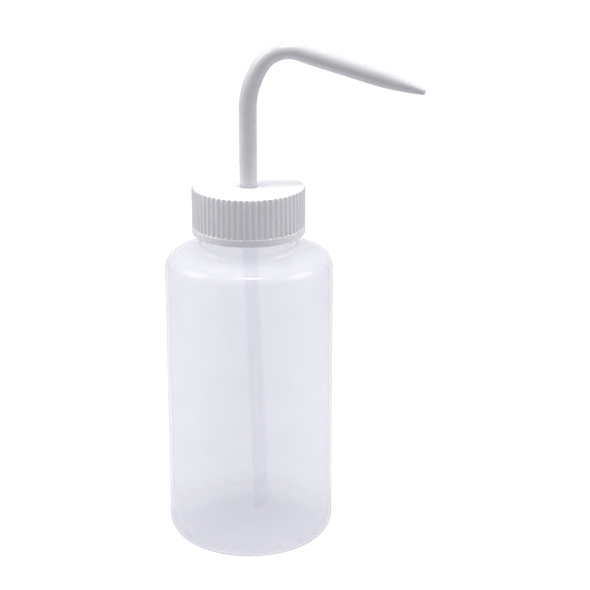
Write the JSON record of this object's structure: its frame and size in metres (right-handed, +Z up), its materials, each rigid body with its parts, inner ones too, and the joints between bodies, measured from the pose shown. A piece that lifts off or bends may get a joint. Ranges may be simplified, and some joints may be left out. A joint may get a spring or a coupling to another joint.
{
  "type": "wash bottle",
  "caption": "Squeeze wash bottle: translucent round bottle with a ribbed screw cap, a swan-neck spout that ends in a fine jet, and a draw tube inside.",
  "frame": {"origin": "centre of the base ring that the bottle stands on, on the bottle's axis", "axes": "+Z up along the bottle's axis, +X the way the spout's arm points"},
  "size_m": [0.1147, 0.075, 0.2289],
  "materials": {
    "milky_polyethylene": "satin, translucent",
    "white_polypropylene": "satin",
    "white_foam": "matt",
    "white_polyethylene": "satin",
    "clear_tubing": "satin, translucent"
  },
  "bodies": {
    "bottle": {"bottle": "milky_polyethylene"},
    "liner": {"sealing_liner": "white_foam"},
    "cap": {"screw_cap": "white_polypropylene"},
    "spout": {"swan_neck_spout": "white_polyethylene", "draw_tube": "clear_tubing"}
  },
  "joints": [
    {"name": "cap_rise", "type": "slide", "parent": "bottle", "child": "liner", "axis": [0, 0, 1], "range_m": [0, 0.008]},
    {"name": "cap_turn", "type": "hinge", "parent": "liner", "child": "cap", "pos_m": [0, 0, 0.1632], "axis": [0, 0, 1], "range_deg": [0, 720]},
    {"name": "spout_swivel", "type": "hinge", "parent": "cap", "child": "spout", "pos_m": [0, 0, 0.165], "axis": [0, 0, 1], "continuous": true}
  ],
  "couplings": [
    {"joint": "cap_rise", "follows": "cap_turn", "m_per_rad": 0.00063662}
  ]
}
